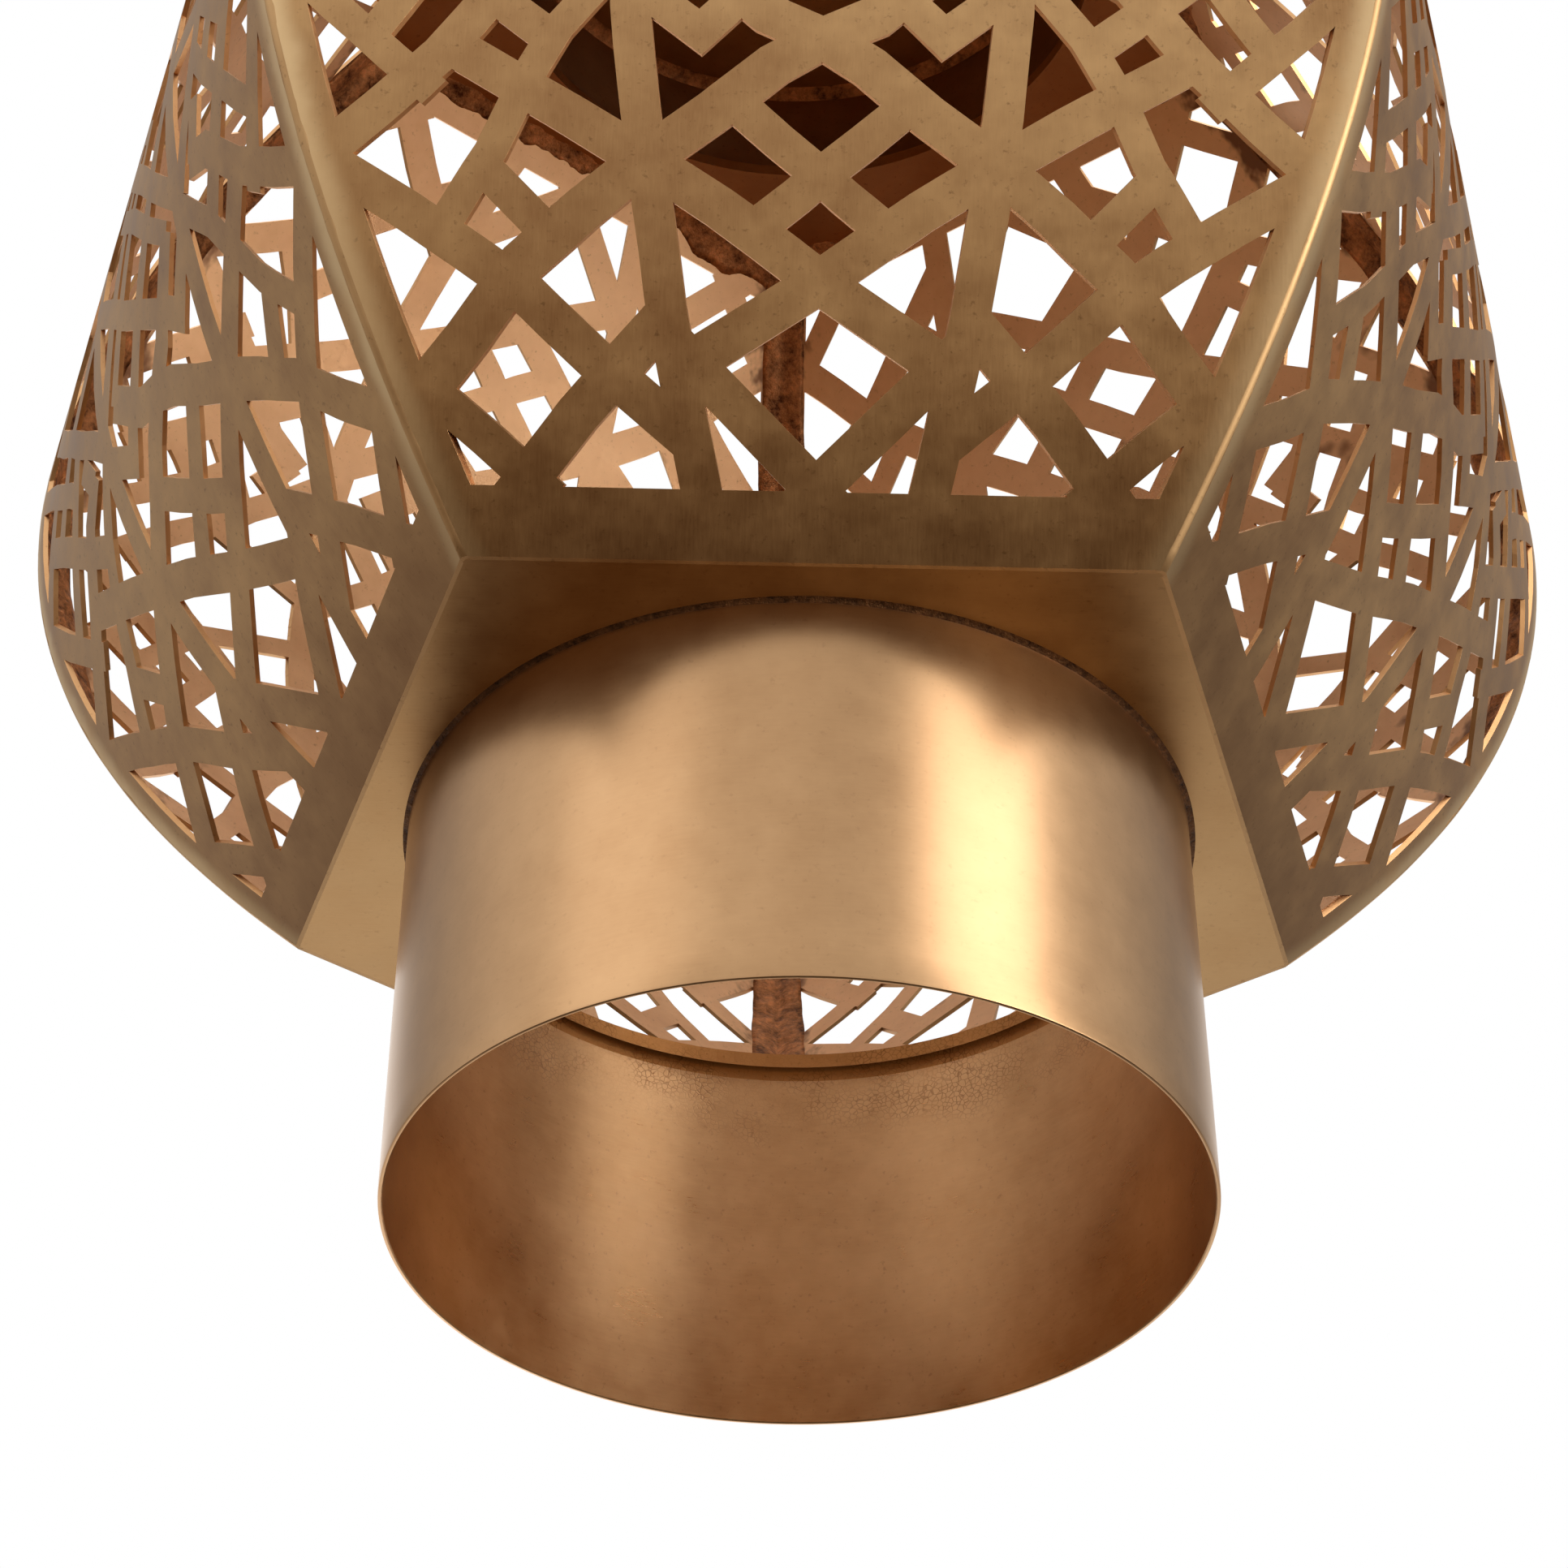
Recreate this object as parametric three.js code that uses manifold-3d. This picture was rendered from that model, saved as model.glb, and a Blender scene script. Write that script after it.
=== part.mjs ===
// Pierced brass lantern that holds a tealight.
// Five bent sheet panels make a pentagonal belly between two flat plates. A round foot tube
// stands under the lower plate, and an equal collar on the upper plate holds the tealight cup.
// Millimetres, +Z up. z = 0 is the table, and the origin is the middle of the bounding box.
import * as THREE from 'three';
import { mergeVertices } from 'three/addons/utils/BufferGeometryUtils.js';
import Module from 'manifold-3d';

const wasm = await Module();
wasm.setup();

// ---- body ----
const sides = 5;
const bellyCornerRadius = 55.2;    // axis to a corner of the body, half way up
const bodyHeight = 86;
const sheet = 0.5;                 // thickness of the panels
const plateThickness = 1;
const plateRim = 2.8;              // plate left outside a collar, at the middle of a side

// ---- foot tube and cup collar ----
const collarWall = 0.6;
const footLength = 25;
const cupCollarLength = 25;
const lipHeight = 1.5;             // rounded lip where a collar meets its plate
const lipWidth = 0.5;              // how far the lip narrows the bore

// ---- lattice of the panels ----
const bandHeight = 3;              // plain band above and below the lattice, measured upright
const edgeMargin = 2.2;            // plain margin along the ridges
const wideBar = 2.4;
const narrowBar = 1.9;
const uprightAtBelly = 0.347;      // the curved upright, as a share of the belly's half width
const uprightLean = 0.187;         // how much nearer the middle it is at the plates

// ---- tealight cup and its fastening ----
const floorRise = 9;               // upper plate's top to the underside of the cup floor
const floorThickness = 1;
const cupBore = 41;                // takes a tealight of 38 to 39.5
const cupWall = 0.5;
const cupClearance = 1.5;          // between the cup and the collar round it
const cupHeight = 13;
const cupDimpleRim = 2;            // dimple's radius over that of the screw head in it
const screwRadius = 2;
const screwHeadRadius = 4;
const screwHeadHeight = 1.2;
const screwLength = 8;             // under the head
const washerRadius = 5;
const washerThickness = 0.8;
const nutAcrossFlats = 7;
const nutHeight = 3;

// ---- solder and fits ----
const seamWidth = 2.6;             // solder along each ridge, inside
const seamDepth = 0.9;
const edgeSolder = 1.2;            // solder along the plates' edges, inside
const floorSolder = 0.9;           // solder under the cup floor
const gap = 0.3;                   // between pieces that are joined or rest together

// ---- smoothness ----
const roundSegments = 48;
const smallSegments = 16;
const bendSegments = 8;

const halfAngle = Math.PI / sides;
const apothemOf = (cornerRadius) => cornerRadius * Math.cos(halfAngle);
const frontTurn = -Math.PI / 2 - halfAngle;   // puts a flat side to the front, -Y
const collarBore = cupBore / 2 + cupWall + cupClearance;
const collarRadius = collarBore + collarWall;
const plateHoleRadius = collarBore - lipWidth;
const plateApothem = collarRadius + plateRim;
const bodyBottom = footLength;
const bodyTop = bodyBottom + bodyHeight;

// Profile of a panel in its middle plane: x is the distance from the axis, y the height.
const bellyApothem = apothemOf(bellyCornerRadius);
const profile = new THREE.QuadraticBezierCurve(
  new THREE.Vector2(plateApothem, 0),
  new THREE.Vector2(2 * bellyApothem - plateApothem, bodyHeight / 2),
  new THREE.Vector2(plateApothem, bodyHeight),
);
const panelLength = profile.getLength();
const bellyHalfWidth = bellyApothem * Math.tan(halfAngle);

const brass = (color, roughness = 0.4) => (
  new THREE.MeshStandardMaterial({ color, roughness, metalness: 1 }));
const panelBrass = brass(0x8a6a42);
const plateBrass = brass(0x7a5524);
const collarBrass = brass(0xa87f55, 0.35);
const solderMetal = brass(0x553720, 0.7);
const cupBrass = brass(0xb08a58, 0.35);
const steel = brass(0x77777a, 0.45);

// ---------------------------------------------------------------- helpers

function toSolid(geometry) {
  const bare = geometry.index ? geometry.toNonIndexed() : geometry.clone();
  bare.deleteAttribute('normal');
  bare.deleteAttribute('uv');
  const merged = mergeVertices(bare, 1e-4);
  return new wasm.Manifold(new wasm.Mesh({
    numProp: 3,
    vertProperties: new Float32Array(merged.attributes.position.array),
    triVerts: new Uint32Array(merged.index.array),
  }));
}

function toGeometry(solid) {
  const mesh = solid.getMesh();
  const geometry = new THREE.BufferGeometry();
  const positions = new Float32Array(mesh.numVert * 3);
  for (let i = 0; i < mesh.numVert; i += 1) {
    for (let axis = 0; axis < 3; axis += 1) {
      positions[3 * i + axis] = mesh.vertProperties[mesh.numProp * i + axis];
    }
  }
  geometry.setAttribute('position', new THREE.BufferAttribute(positions, 3));
  geometry.setIndex(new THREE.BufferAttribute(new Uint32Array(mesh.triVerts), 1));
  return geometry;
}

// Moves every vertex of a geometry through a function of its position.
function reshape(geometry, place) {
  const position = geometry.attributes.position;
  const point = new THREE.Vector3();
  for (let i = 0; i < position.count; i += 1) {
    point.fromBufferAttribute(position, i);
    place(point);
    position.setXYZ(i, point.x, point.y, point.z);
  }
  geometry.computeVertexNormals();
  return geometry;
}

function prism(shape, bottom, top) {
  const depth = top - bottom;
  const geometry = new THREE.ExtrudeGeometry(shape, { depth, bevelEnabled: false, steps: 1 });
  return geometry.translate(0, 0, bottom);
}

// A body of revolution about Z from a closed outline of [radius, height] points that runs
// anticlockwise in the (radius, height) plane.
function turned(outline, segments = roundSegments, startAngle = 0) {
  const points = [...outline, outline[0]].map(([r, z]) => new THREE.Vector2(r, z));
  const lathe = new THREE.LatheGeometry(points, segments, startAngle);
  return lathe.rotateX(Math.PI / 2);
}

function polygon(cornerRadius, count = sides, turn = frontTurn) {
  const corners = [];
  for (let i = 0; i < count; i += 1) {
    const angle = turn + (2 * Math.PI * i) / count;
    corners.push(new THREE.Vector2(cornerRadius * Math.cos(angle), cornerRadius * Math.sin(angle)));
  }
  return new THREE.Shape(corners);
}

function circleHole(radius) {
  return new THREE.Path().absarc(0, 0, radius, 0, 2 * Math.PI, true);
}

// ---------------------------------------------------------------- panels

// A level strip of the bent sheet: the outer skin's distance from the axis, and its slope.
const skinAt = (height) => profile.getPoint(THREE.MathUtils.clamp(height / bodyHeight, 0, 1));
const slopeAt = (height) => profile.getTangent(THREE.MathUtils.clamp(height / bodyHeight, 0, 1));

// Distance from the axis to the inner skin, less the usual gap.
const insideAt = (height) => skinAt(height).x - (sheet + gap) / slopeAt(height).y;

// Where a point of the flat sheet, x across and y along it from its lower edge, is in front view.
function inFrontView(point) {
  const share = THREE.MathUtils.clamp(point.y / panelLength, 0, 1);
  return new THREE.Vector2(point.x, profile.getPointAt(share).y);
}

// Centre lines of the lattice bars in the lower right quarter, as percentages: x of the belly's
// half width, y of the way along the sheet from its lower edge to the belly line.
const barLines = [
  [wideBar, [-3, 6.5], [25, 25.5]],
  [wideBar, [-21, 22.5], [0, 32], [29.5, 46], [62.5, 59.5]],
  [wideBar, [20.5, 13.5], [48.5, 30], [85, 46]],
  [wideBar, [25, 28], [50.5, 6.5]],
  [wideBar, [69, 15], [49.5, 33.5], [29.5, 46], [0, 61.5], [-34, 79]],
  [narrowBar, [63.5, 36.5], [50, 55], [34, 71.5]],
  [narrowBar, [85, 44.5], [64, 58.5], [35, 77]],
  [narrowBar, [46, 61], [95, 88]],
  [narrowBar, [65, 53.5], [92, 71]],
  [narrowBar, [76.5, 60], [53.5, 85]],
  [narrowBar, [35.5, 73], [81, 101.5]],
  [narrowBar, [34, 73.5], [0, 100]],
  [narrowBar, [-12, 67.5], [34, 96]],
];

// Both sides of a bar of even width along a centre line, as one outline of points.
function barOutline(line, width) {
  const leftSide = [];
  const rightSide = [];
  line.forEach((point, i) => {
    const before = line[Math.max(i - 1, 0)];
    const after = line[Math.min(i + 1, line.length - 1)];
    const into = point.clone().sub(before);
    const out = after.clone().sub(point);
    const along = into.clone().normalize().add(out.clone().normalize()).normalize();
    const run = (into.lengthSq() > 0 ? into : out).clone().normalize();
    const side = new THREE.Vector2(-along.y, along.x).multiplyScalar(width / 2 / along.dot(run));
    leftSide.push(point.clone().add(side));
    rightSide.unshift(point.clone().sub(side));
  });
  return [...leftSide, ...rightSide];
}

function latticeLines() {
  const lines = barLines.map(([width, ...points]) => ({
    width,
    line: points.map(([x, y]) => new THREE.Vector2(
      (x / 100) * bellyHalfWidth, (y / 200) * panelLength)),
  }));
  const upright = [0.04, 0.5, 1.01].map((rise) => new THREE.Vector2(
    (uprightAtBelly - uprightLean * (1 - rise) ** 2) * bellyHalfWidth, (rise * panelLength) / 2));
  return [...lines, { width: narrowBar, line: upright }];
}

// A level prism through the front panel, from its outline in front view.
function throughFront(outline, clearance) {
  const shape = new THREE.Shape(outline);
  const far = bellyApothem + clearance;
  const near = plateApothem / 2 - clearance;
  return toSolid(prism(shape, near, far).rotateX(Math.PI / 2));
}

// The lattice repeats in mirror image left to right and about the belly line.
function latticeBars() {
  const bars = [];
  for (const { width, line } of latticeLines()) {
    for (const flipX of [1, -1]) {
      for (const flipY of [false, true]) {
        const mirrored = line.map((p) => new THREE.Vector2(
          flipX * p.x, flipY ? panelLength - p.y : p.y));
        bars.push(throughFront(barOutline(mirrored, width).map(inFrontView), 2));
      }
    }
  }
  return wasm.Manifold.union(bars);
}

// The part of the front panel that is pierced, before the bars are left standing in it.
function latticeWindow() {
  const right = [];
  for (let i = 0; i <= bendSegments; i += 1) {
    const height = bandHeight + ((bodyHeight - 2 * bandHeight) * i) / bendSegments;
    right.push(new THREE.Vector2(skinAt(height).x * Math.tan(halfAngle) - edgeMargin, height));
  }
  const left = right.map((p) => new THREE.Vector2(-p.x, p.y)).reverse();
  return throughFront([...right, ...left], 1);
}

// The panel before it is pierced: flat strips from mitre to mitre, bent at level lines.
function bentSheet() {
  const strips = new THREE.BoxGeometry(2, bodyHeight, sheet, 1, bendSegments, 1);
  strips.translate(0, bodyHeight / 2, sheet / 2);
  return reshape(strips, (point) => {
    const outer = skinAt(point.y);
    const slope = slopeAt(point.y);
    const inward = sheet - point.z;
    const distance = outer.x - inward * slope.y;
    const halfWidth = distance * Math.tan(halfAngle) - gap / 2;
    point.set(point.x * halfWidth, -distance, outer.y + inward * slope.x);
  });
}

function panelGeometry() {
  const holes = latticeWindow().subtract(latticeBars());
  return toGeometry(toSolid(bentSheet()).subtract(holes));
}

// ---------------------------------------------------------------- plates, collars and solder

// A plate fits inside the panels' ends.
function plateGeometry() {
  const shape = polygon(insideAt(0) / Math.cos(halfAngle));
  shape.holes.push(circleHole(plateHoleRadius));
  return prism(shape, 0, plateThickness);
}

// A tube with a rounded lip that narrows its bore to the plate's hole at z = 0.
function collarGeometry(length) {
  const lip = [];
  for (const angle of [0, Math.PI / 4, Math.PI / 2]) {
    const radius = collarBore - (collarBore - plateHoleRadius) * (1 - Math.sin(angle));
    lip.push([radius, lipHeight * (1 - Math.cos(angle))]);
  }
  return turned([[collarRadius, 0], [collarRadius, length], [collarBore, length], ...lip.reverse()]);
}

// Solder in the corner behind a ridge, from plate to plate.
function seamGeometry() {
  const end = plateThickness + edgeSolder + gap;
  const half = seamWidth / 2;
  const slant = half / Math.tan(Math.PI / 2 - halfAngle);
  const shape = new THREE.Shape([
    new THREE.Vector2(0, 0),
    new THREE.Vector2(-half, -slant),
    new THREE.Vector2(0, -slant - seamDepth),
    new THREE.Vector2(half, -slant),
  ]);
  const options = { depth: bodyHeight, bevelEnabled: false, steps: bendSegments };
  return reshape(new THREE.ExtrudeGeometry(shape, options), (point) => {
    point.z = THREE.MathUtils.clamp(point.z, end, bodyHeight - end);
    point.y += insideAt(point.z) / Math.cos(halfAngle);
  });
}

// Solder in the corner between a plate's inner face and the panels.
function edgeSolderGeometry() {
  const cornerAt = (height, inset) => (insideAt(height) - inset) / Math.cos(halfAngle);
  const low = plateThickness;
  const high = plateThickness + edgeSolder;
  const outline = [[cornerAt(low, edgeSolder), low], [cornerAt(low, 0), low], [cornerAt(high, 0), high]];
  return turned(outline, sides, halfAngle);
}

// ---------------------------------------------------------------- tealight cup

function floorGeometry() {
  const radius = collarBore - gap;
  const bore = screwRadius + gap;
  return turned([[bore, 0], [radius, 0], [radius, floorThickness], [bore, floorThickness]]);
}

function floorSolderGeometry() {
  const radius = collarBore - gap;
  return turned([[radius, -floorSolder], [radius, 0], [radius - floorSolder, 0]]);
}

// The cup stands on a dimple pressed into its floor, deep enough to sink the screw head in.
function cupGeometry() {
  const bore = screwRadius + gap;
  const inner = cupBore / 2;
  const outer = inner + cupWall;
  const dimple = screwHeadRadius + cupDimpleRim;
  const rise = screwHeadHeight + gap;
  return turned([
    [bore, 0], [dimple + cupWall, 0], [dimple + cupWall, rise], [outer, rise], [outer, cupHeight],
    [inner, cupHeight], [inner, rise + cupWall], [dimple, rise + cupWall], [dimple, cupWall],
    [bore, cupWall],
  ]);
}

// Pan head with a slightly domed top, on a plain shank. z = 0 is under the head.
function screwGeometry() {
  return turned([
    [0, -screwLength], [screwRadius, -screwLength], [screwRadius, 0], [screwHeadRadius, 0],
    [screwHeadRadius, screwHeadHeight / 2], [screwHeadRadius * 0.7, screwHeadHeight],
    [0, screwHeadHeight],
  ], smallSegments);
}

function washerGeometry() {
  const bore = screwRadius + gap;
  return turned([
    [bore, 0], [washerRadius, 0], [washerRadius, washerThickness], [bore, washerThickness],
  ], smallSegments);
}

function nutGeometry() {
  const shape = polygon(nutAcrossFlats / 2 / Math.cos(Math.PI / 6), 6, 0);
  shape.holes.push(circleHole(screwRadius + gap));
  return prism(shape, 0, nutHeight);
}

// ---------------------------------------------------------------- assembly

const lantern = new THREE.Group();
lantern.position.y = (bellyApothem - bellyCornerRadius) / 2;

function add(name, geometry, material, z = 0, turn = 0, tip = 0) {
  const mesh = new THREE.Mesh(geometry, material);
  mesh.name = name;
  mesh.position.z = z;
  mesh.rotation.set(tip, 0, turn);
  lantern.add(mesh);
  return mesh;
}

const upsideDown = Math.PI;

add('foot_tube', collarGeometry(footLength), collarBrass, bodyBottom, 0, upsideDown);
add('bottom_plate', plateGeometry(), plateBrass, bodyBottom);
add('bottom_edge_solder', edgeSolderGeometry(), solderMetal, bodyBottom);

const panel = panelGeometry();
const panelPlaces = ['front', 'front_right', 'back_right', 'back_left', 'front_left'];
panelPlaces.forEach((place, i) => {
  add(`panel_${place}`, panel, panelBrass, bodyBottom, 2 * halfAngle * i);
});

const seam = seamGeometry();
const seamPlaces = ['back', 'back_left', 'front_left', 'front_right', 'back_right'];
seamPlaces.forEach((place, i) => {
  add(`ridge_solder_${place}`, seam, solderMetal, bodyBottom, 2 * halfAngle * i);
});

add('top_plate', plateGeometry(), plateBrass, bodyTop - plateThickness);
add('top_edge_solder', edgeSolderGeometry(), solderMetal, bodyTop, Math.PI, upsideDown);
add('cup_collar', collarGeometry(cupCollarLength), collarBrass, bodyTop);

const floorBottom = bodyTop + floorRise;
const cupBottom = floorBottom + floorThickness;
add('cup_floor', floorGeometry(), collarBrass, floorBottom);
add('cup_floor_solder', floorSolderGeometry(), solderMetal, floorBottom);
add('tealight_cup', cupGeometry(), cupBrass, cupBottom);
add('cup_screw', screwGeometry(), steel, cupBottom + cupWall);
add('cup_washer', washerGeometry(), steel, floorBottom - washerThickness);
add('cup_nut', nutGeometry(), steel, floorBottom - washerThickness - nutHeight);

export default lantern;
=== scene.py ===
"""Looks of the pierced brass tealight holder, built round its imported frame. Metres, +Z up."""

import math

import bmesh
import bpy
from mathutils import Matrix, Vector, noise


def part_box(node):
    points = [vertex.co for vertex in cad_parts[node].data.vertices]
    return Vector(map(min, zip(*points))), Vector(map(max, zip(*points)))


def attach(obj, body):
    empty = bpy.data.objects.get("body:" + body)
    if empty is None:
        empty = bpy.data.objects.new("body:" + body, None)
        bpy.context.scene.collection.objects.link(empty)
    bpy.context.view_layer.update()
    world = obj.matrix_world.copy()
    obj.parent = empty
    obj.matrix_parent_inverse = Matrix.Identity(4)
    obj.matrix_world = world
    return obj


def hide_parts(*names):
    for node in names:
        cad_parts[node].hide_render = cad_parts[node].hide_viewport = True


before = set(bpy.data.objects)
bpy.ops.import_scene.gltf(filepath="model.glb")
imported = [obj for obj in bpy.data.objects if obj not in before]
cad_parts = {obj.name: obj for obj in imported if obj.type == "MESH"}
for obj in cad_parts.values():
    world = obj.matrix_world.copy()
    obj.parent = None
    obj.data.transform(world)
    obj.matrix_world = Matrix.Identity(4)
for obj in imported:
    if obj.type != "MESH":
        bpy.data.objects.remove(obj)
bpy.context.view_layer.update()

MM = 0.001
SIDES = 5
HALF = math.pi / SIDES
TURN = 2 * HALF  # from one panel to the next
TAN_HALF = math.tan(HALF)
RIDGE_HALF = math.pi / 2 - HALF  # half the angle between two panels
UV = 10  # texture coordinates are metres times this

# ---- places, from the frame ----
TUBE_LOW, TUBE_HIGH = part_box("foot_tube")
AXIS = Vector((0.0, (TUBE_LOW.y + TUBE_HIGH.y) / 2, 0.0))
TUBE_R = (TUBE_HIGH.x - TUBE_LOW.x) / 2
BODY_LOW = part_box("bottom_plate")[0].z
BODY_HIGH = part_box("top_plate")[1].z
BODY_H = BODY_HIGH - BODY_LOW
BELLY = AXIS.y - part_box("panel_front")[0].y

# ---- sizes the frame doesn't give ----
RIM = 2.8 * MM  # plate left outside a tube
PLATE = TUBE_R + RIM  # from the axis to the middle of a plate's side
SHEET = 0.3 * MM  # as thin as its cut edges look
TUBE_WALL = 0.6 * MM
BORE_R = TUBE_R - TUBE_WALL
LIP_STEP = 0.5 * MM  # how far a tube's bore narrows at its plate
HOLE_R = BORE_R - LIP_STEP
PLATE_T = 1.0 * MM
INSET = 0.12 * MM  # how far a plate lies inside the ends of the panels
RIDGE_R = 0.42 * MM  # rounding of a ridge
CHAMFER = 0.18 * MM  # filed flat along the panels' lower and upper edges
BEND_ROWS = 40

# ---- the bent sheet ----


def skin(t):
    """Outer skin of a panel at height share t: distance from the axis."""
    return PLATE + 4 * t * (1 - t) * (BELLY - PLATE)


def slope(t):
    """Unit tangent of the profile: (outward, upward)."""
    out = 4 * (1 - 2 * t) * (BELLY - PLATE)
    size = math.hypot(out, BODY_H)
    return out / size, BODY_H / size


ARC_STEPS = 800
ARC = [0.0]  # length along the sheet up to each step of height
for k in range(ARC_STEPS):
    rise = BODY_H / ARC_STEPS
    run = skin((k + 1) / ARC_STEPS) - skin(k / ARC_STEPS)
    ARC.append(ARC[-1] + math.hypot(run, rise))
LENGTH = ARC[-1]


def height_share(s):
    """Height share of the point a length s along the sheet from its lower edge."""
    s = min(max(s, 0.0), LENGTH)
    low, high = 0, ARC_STEPS
    while high - low > 1:
        middle = (low + high) // 2
        if ARC[middle] <= s:
            low = middle
        else:
            high = middle
    part = (s - ARC[low]) / (ARC[high] - ARC[low])
    return (low + part) / ARC_STEPS


def half_width(s):
    """Half the flat sheet's width, ridge to ridge, a length s along it."""
    return skin(height_share(s)) * TAN_HALF


def on_panel(x, s, depth):
    """Place of a point of the flat sheet once bent, for a panel that faces -Y with the axis at
    the origin. depth is measured inwards from the outer skin."""
    t = height_share(s)
    out, up = slope(t)
    distance = skin(t) - depth * up
    return Vector((x * distance / skin(t), -distance, BODY_LOW + BODY_H * t + depth * out))


def inner_skin(z):
    """Distance of the panels' inner skin from the axis at height z."""
    t = min(max((z - BODY_LOW) / BODY_H, 0.0), 1.0)
    return skin(t) - SHEET / slope(t)[1]


def turned_about_axis(angle):
    return Matrix.Translation(AXIS) @ Matrix.Rotation(angle, 4, "Z")


# ---- lattice ----

# Centre lines of the bars in the lower right quarter: width in mm, then points as percentages,
# x of the belly's half width and y of the way along the sheet to the belly line.
BARS = [
    (2.3, (-3, 6.5), (25, 25.5)),
    (2.4, (-21, 22.5), (-10, 27.5), (0, 32), (17, 40.5), (29.5, 46), (41.5, 51), (51.5, 55),
     (62.5, 59.5)),
    (2.3, (20.5, 13.5), (36.5, 22.5), (48.5, 30), (59, 35), (69, 39.5), (85, 46)),
    (2.4, (25, 28), (29.5, 24.5), (39.5, 16.5), (50.5, 6.5)),
    (2.5, (69, 15), (58, 25), (49.5, 33.5), (39.5, 40), (29.5, 46), (18, 52), (8, 58), (0, 61.5),
     (-9, 64.5), (-17, 69.5), (-24, 74)),
    (2.1, (12, 37.5), (4, 42), (0, 44.5), (-7, 48.5), (-16, 54)),
    (2.1, (13, 67.5), (20.5, 62), (31.5, 68)),
    (1.8, (63.5, 36.5), (55, 46.5), (50, 55), (44.5, 62), (39, 67), (34, 71.5)),
    (2.2, (85, 44.5), (74, 51.5), (64, 58.5), (59, 63), (52.5, 69), (43.5, 73)),
    (1.9, (45, 72), (51.5, 78.5)),
    (2.1, (46, 61), (59, 68), (73, 76), (85, 82.5)),
    (1.6, (93, 70), (86, 78), (81.5, 82.5), (77, 87)),
    (1.6, (75, 77), (71, 80), (64, 86), (60, 89.5)),
    (1.75, (59, 78), (63.5, 81), (71, 85), (79, 89.5), (96, 98)),
    (1.9, (35.5, 73), (41.5, 77), (52.5, 83.5), (59, 88), (69, 93.5), (81, 101.5)),
    (1.6, (35.5, 95), (61, 89)),
    (1.9, (34, 73.5), (25.5, 80), (18, 86), (10, 92.5), (0, 100)),
    (1.9, (-12, 67.5), (0, 75), (10, 81), (19.5, 87.5), (29.5, 93.5), (34, 96)),
    (1.6, (24, 73.5), (15, 80), (6, 87), (0, 92), (-6, 95.5), (-14, 101)),
    (2.0, (44.5, 36.5), (56, 44.5)),
    (2.0, (43.5, 7), (54.5, 13.5), (67, 20.5)),
    (1.9, (65, 53.5), (72.5, 58), (82, 64), (92, 71)),
    (1.75, (76.5, 60), (72, 64.5), (65.5, 71.5), (59, 78), (53.5, 85)),
]
# The bar that climbs along the panel: width, x at the belly, how much less x has at the lower
# edge, and the shares of the way to the belly at which it has points.
UPRIGHT = (2.2, 34.7, 18.7, (0.04, 0.16, 0.28, 0.4, 0.52, 0.65, 0.8, 1.01))
BAND = 4.0 * MM  # plain band at both ends, along the sheet
MARGIN = 2.2 * MM  # plain margin along the ridges


def bar_lines():
    """Width and centre line of every bar of the lower right quarter, on the flat sheet."""
    unit_x = BELLY * TAN_HALF / 100
    unit_y = LENGTH / 200
    lines = [(w * MM, [(x * unit_x, y * unit_y) for x, y in points]) for w, *points in BARS]
    width, at_belly, lean, shares = UPRIGHT
    curve = [((at_belly - lean * (1 - v) ** 2) * unit_x, v * 100 * unit_y) for v in shares]
    lines.append((width * MM, curve))
    return lines


def bar_outline(line, width):
    """Both sides of a bar of even width along a centre line."""
    left, right = [], []
    for i, point in enumerate(line):
        before = Vector(line[max(i - 1, 0)])
        after = Vector(line[min(i + 1, len(line) - 1)])
        here = Vector(point)
        legs = [leg.normalized() for leg in (here - before, after - here) if leg.length > 0]
        along = sum(legs, Vector((0, 0))).normalized()
        side = Vector((-along.y, along.x)) * (width / 2 / along.dot(legs[0]))
        left.append(here + side)
        right.append(here - side)
    return left + right[::-1]


def added(name, data):
    """A new object in the scene."""
    thing = bpy.data.objects.new(name, data)
    bpy.context.scene.collection.objects.link(thing)
    return thing


def prisms(outlines, low, high):
    """One object of upright prisms, each a hair taller than the last so that no caps coincide."""
    hair = 0.002 * MM
    mesh = bpy.data.meshes.new("prisms")
    work = bmesh.new()
    for i, outline in enumerate(outlines):
        extra = i * hair
        area = sum(a.x * b.y - b.x * a.y for a, b in zip(outline, outline[1:] + outline[:1]))
        points = outline if area > 0 else outline[::-1]
        floor = [work.verts.new((p.x, p.y, low - extra)) for p in points]
        roof = [work.verts.new((p.x, p.y, high + extra)) for p in points]
        work.faces.new(floor[::-1])
        work.faces.new(roof)
        for k in range(len(points)):
            j = (k + 1) % len(points)
            work.faces.new((floor[k], floor[j], roof[j], roof[k]))
    work.to_mesh(mesh)
    work.free()
    return added("prisms", mesh)


def minus(thing, cutter):
    """Cuts one object out of another and returns the mesh that is left."""
    cut = thing.modifiers.new("cut", "BOOLEAN")
    cut.operation = "DIFFERENCE"
    cut.solver = "EXACT"
    cut.use_self = True
    cut.object = cutter
    view = bpy.context.evaluated_depsgraph_get()
    mesh = bpy.data.meshes.new_from_object(thing.evaluated_get(view))
    thing.modifiers.clear()
    return mesh


def drop(*things):
    for thing in things:
        bpy.data.objects.remove(thing)


def side_outline(inset, low, high):
    """Outline of the flat sheet from s = low to high, pulled in from the ridges by inset."""
    levels = [low + (high - low) * k / BEND_ROWS for k in range(BEND_ROWS + 1)]
    right = [Vector((half_width(s) - inset, s)) for s in levels]
    left = [Vector((-p.x, p.y)) for p in reversed(right)]
    return right + left


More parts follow.
